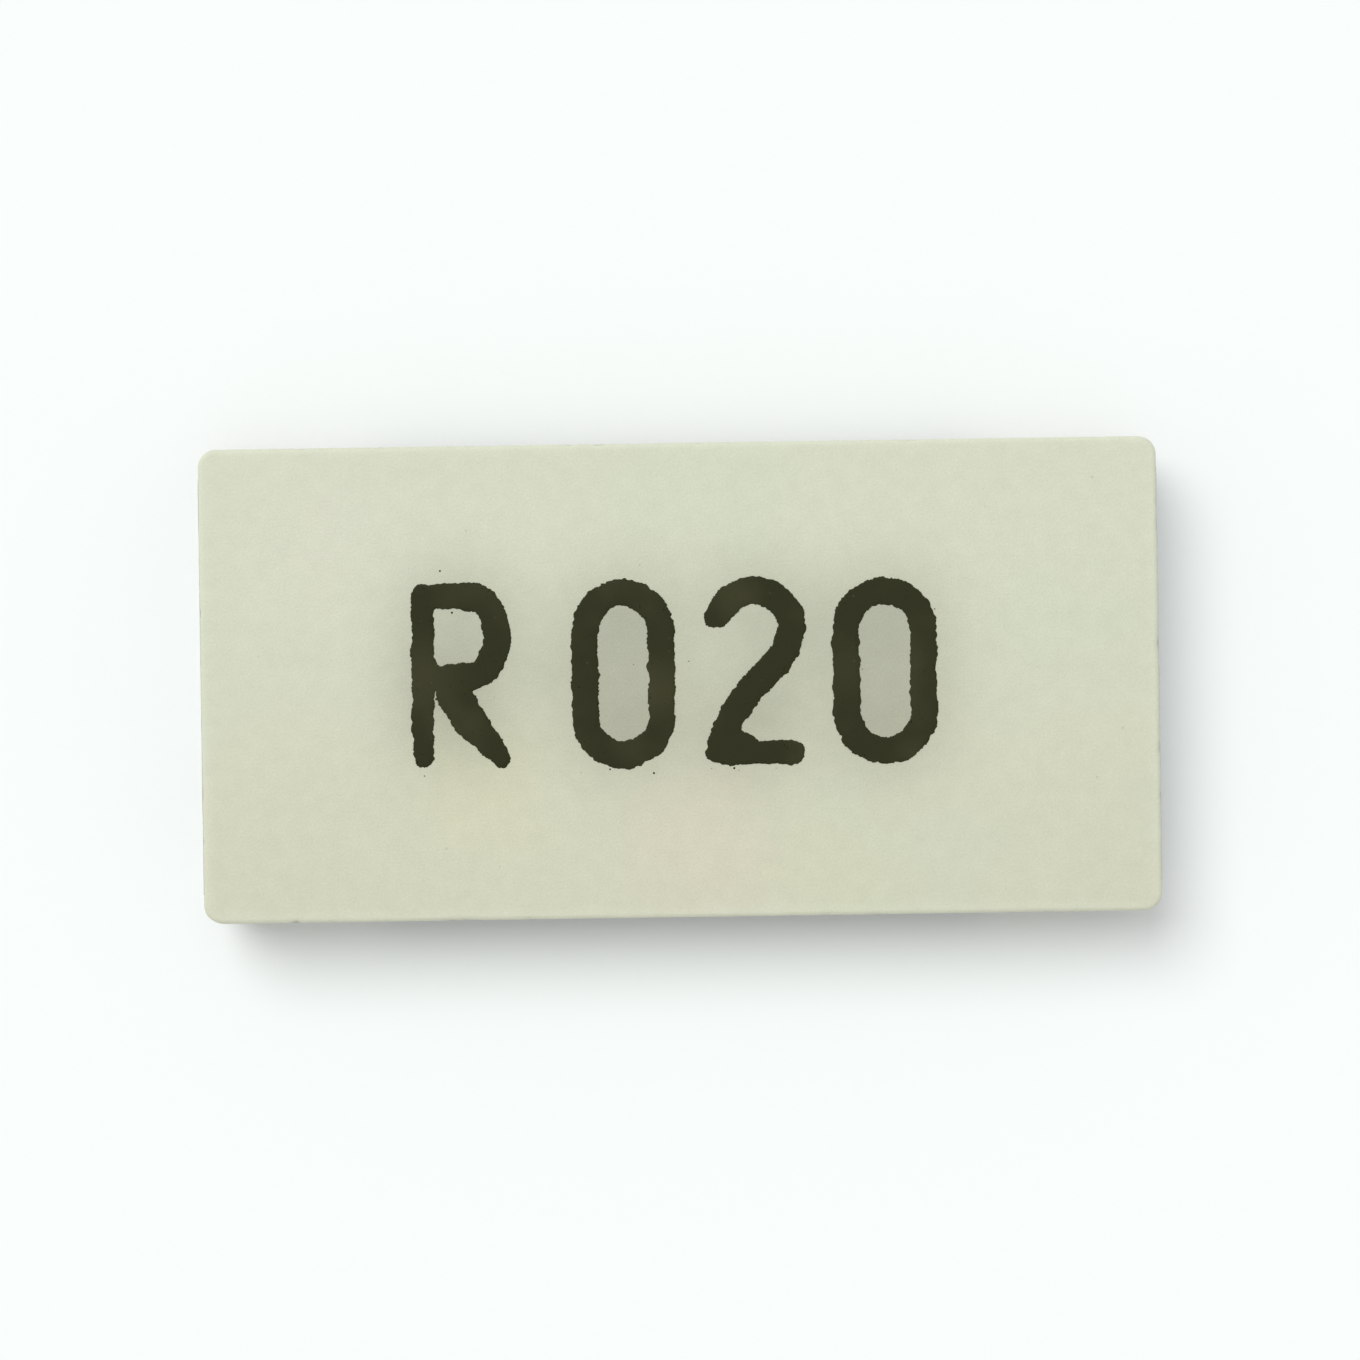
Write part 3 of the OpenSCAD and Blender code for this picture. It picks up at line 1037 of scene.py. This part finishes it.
tin = tinMaterial()
for side, (toSide, waveSeed, grainSeed) in terminals["sides"].items():
    probes = [(toSide * x, y) for x, y in terminals["probes"]]
    cutsX = cutsRound([x for x, y in probes], terminals["probeCells"], terminals["probeCell"])
    cutsY = cutsRound([y for x, y in probes], terminals["probeCells"], terminals["probeCell"])
    coat = finerCopy("tin_coat_" + side, "tin_terminal_" + side, terminals["cell"], cutsX, cutsY)
    points = readPoints(coat.data)
    for x, y in probes:
        away = np.hypot(points[:, 0] - x, points[:, 1] - y) / terminals["probeWidth"]
        dimple = np.where(points[:, 2] < terminals["underside"], np.clip(2 - 2 * away, 0, 1), 0)
        points[:, 2] += terminals["probeDepth"] * dimple
    lifts = np.clip((points[:, 2] - terminals["waveFrom"]) / terminals["waveGrows"], 0, 1)
    wander = np.array([layeredNoise((y * terminals["waveScale"], waveSeed, 0.0))
                       for y in points[:, 1]])
    points[:, 2] += terminals["wave"] * wander * lifts
    writePoints(coat.data, points)
    roughen(coat, terminals["grain"], terminals["grainSize"], grainSeed)
    coat.data.materials.clear()
    coat.data.materials.append(tin)
    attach(coat, "root")
    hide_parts("tin_coat_" + side)
    print(coat.name + ":", len(coat.data.polygons), "faces")


resin = {
    "cell": 0.07,
    "peel": 0.004,
    "peelSize": 0.16,
    "peelSeed": 31,
    # The resin sinks a little where it fills the foil's slits: x, and the y where the slit's
    # tip is and where it leaves the foil. The bite that trims the foil is a centre and a radius
    "slits": [(-1.353, -0.65, 1.55), (0.0, 0.65, -1.55), (1.353, -0.65, 1.55)],
    "slitWidth": 0.09,
    "bite": (0.0, 1.45, 0.16),
    "slitSink": 0.009,
    "slitFade": 0.1,  # at a slit's tip
    "slitCell": 0.03,
    "slitCells": 6,  # to each side of a slit's middle
    "underside": 0.001,  # what lies within this of the lowest point is the underside
    "colour": linear(42, 46, 40),
    "deep": linear(20, 22, 18),
    "dust": linear(76, 80, 71),
    "dustShare": 0.25,
    "speckShare": 0.4,
    "grainDepth": 0.0010,
    "roughLow": 0.34,
    "roughHigh": 0.50,
}


def resinMaterial():
    look = resin
    material, tree, shader, place = newMaterial("overcoat_resin", {"Specular IOR Level": 0.38})
    grain = useGroup(tree, grainGroup, {
        "Vector": place, "Grain Size": 0.018, "Cloud Size": 0.5,
        "Speck Gap": 0.07, "Speck Size": 0.012,
    })
    dusty = fade(tree, grain["Cloud"], 0.3, 0.8, 0.0, look["dustShare"])
    colour = mixColour(tree, dusty, look["colour"], look["dust"])
    sunk = makeNode(tree, "ShaderNodeAttribute", attribute_name="resinSunk").outputs["Fac"]
    colour = mixColour(tree, sunk, colour, look["deep"])
    flecks = maths(tree, "MULTIPLY", grain["Specks"], look["speckShare"])
    plug(tree, shader.inputs["Base Color"], mixColour(tree, flecks, colour, look["dust"]))
    unevenShine(tree, shader, grain["Height"], look)
    bump(tree, shader, grain["Height"], look["grainDepth"])
    return material


cutsX = cutsRound([x for x, tip, mouth in resin["slits"]], resin["slitCells"], resin["slitCell"])
coating = finerCopy("protective_overcoat", "resin_overcoat", resin["cell"], cutsX)
points = readPoints(coating.data)
sunk = np.zeros(len(points))
for x, tip, mouth in resin["slits"]:
    fromTip = (points[:, 1] - tip) * np.sign(mouth - tip)
    across = np.exp(-((points[:, 0] - x) / resin["slitWidth"]) ** 4)
    sunk += across * np.clip(fromTip / resin["slitFade"] + 0.5, 0, 1)
biteX, biteY, reach = resin["bite"]
sunk += np.exp(-(np.hypot(points[:, 0] - biteX, points[:, 1] - biteY) / reach) ** 4)
sunk *= points[:, 2] < boxOf("protective_overcoat")[0][2] + resin["underside"]
points[:, 2] += resin["slitSink"] * sunk
coating.data.attributes.new("resinSunk", "FLOAT", "POINT").data.foreach_set("value", sunk)
writePoints(coating.data, points)
roughen(coating, resin["peel"], resin["peelSize"], resin["peelSeed"])
coating.data.materials.clear()
coating.data.materials.append(resinMaterial())
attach(coating, "root")
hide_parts("protective_overcoat")
print("resin overcoat:", len(coating.data.polygons), "faces")


bondingFilm = {
    "colour": linear(178, 132, 66),
    "dark": linear(132, 92, 44),
    "grainDepth": 0.001,
    "roughLow": 0.35,
    "roughHigh": 0.5,
}

metalStreaks = {
    "markShare": 0.3,
    "depth": 0.0012,
}

# How far a metal's streaks are squeezed along the chip and across it: the larger, the finer
metals = {
    "foil_alloy": {
        "colour": linear(206, 178, 152), "dark": linear(176, 148, 124),
        "along": 0.8, "across": 30.0, "roughLow": 0.25, "roughHigh": 0.40,
    },
    "copper": {
        "colour": linear(214, 140, 102), "dark": linear(176, 104, 72),
        "along": 12.0, "across": 12.0, "roughLow": 0.32, "roughHigh": 0.48,
    },
    "nickel": {
        "colour": linear(200, 194, 180), "dark": linear(168, 162, 150),
        "along": 14.0, "across": 14.0, "roughLow": 0.25, "roughHigh": 0.40,
    },
}


def filmMaterial():
    look = bondingFilm
    material, tree, shader, place = newMaterial("bonding_film", {"Specular IOR Level": 0.5})
    grain = useGroup(tree, grainGroup, {"Vector": place, "Grain Size": 0.02, "Cloud Size": 0.2})
    colour = mixColour(tree, fade(tree, grain["Cloud"], 0.3, 0.7), look["colour"], look["dark"])
    plug(tree, shader.inputs["Base Color"], colour)
    unevenShine(tree, shader, grain["Height"], look)
    bump(tree, shader, grain["Height"], look["grainDepth"])
    return material


def metalMaterial(name):
    # rolled or plated metal under the tin: clouds of tone and fine lines along one direction
    look = metals[name]
    material, tree, shader, place = newMaterial(name, {"Metallic": 1.0})
    grain = useGroup(tree, grainGroup, {"Vector": place, "Grain Size": 0.012, "Cloud Size": 0.3})
    lines = useGroup(tree, streakGroup, {
        "Vector": place, "Along X": look["along"], "Along Y": look["across"], "Along Z": look["across"],
        "Threshold": 0.6,
    })
    tone = mixColour(tree, fade(tree, grain["Cloud"], 0.3, 0.75), look["colour"], look["dark"])
    streaked = maths(tree, "MULTIPLY", lines["Marks"], metalStreaks["markShare"])
    tone = mixColour(tree, streaked, tone, look["dark"])
    plug(tree, shader.inputs["Base Color"], tone)
    unevenShine(tree, shader, lines["Height"], look)
    bump(tree, shader, lines["Height"], metalStreaks["depth"])
    return material


finishes = {
    "bonding_film": filmMaterial(),
    "resistance_foil": metalMaterial("foil_alloy"),
    "copper": metalMaterial("copper"),
    "nickel": metalMaterial("nickel"),
}
for name, node in frame["nodes"].items():
    for key, finish in finishes.items():
        if name.startswith(key):
            for materialSlot in node.material_slots:
                materialSlot.material = finish
print("finishes set on the nodes that stay")
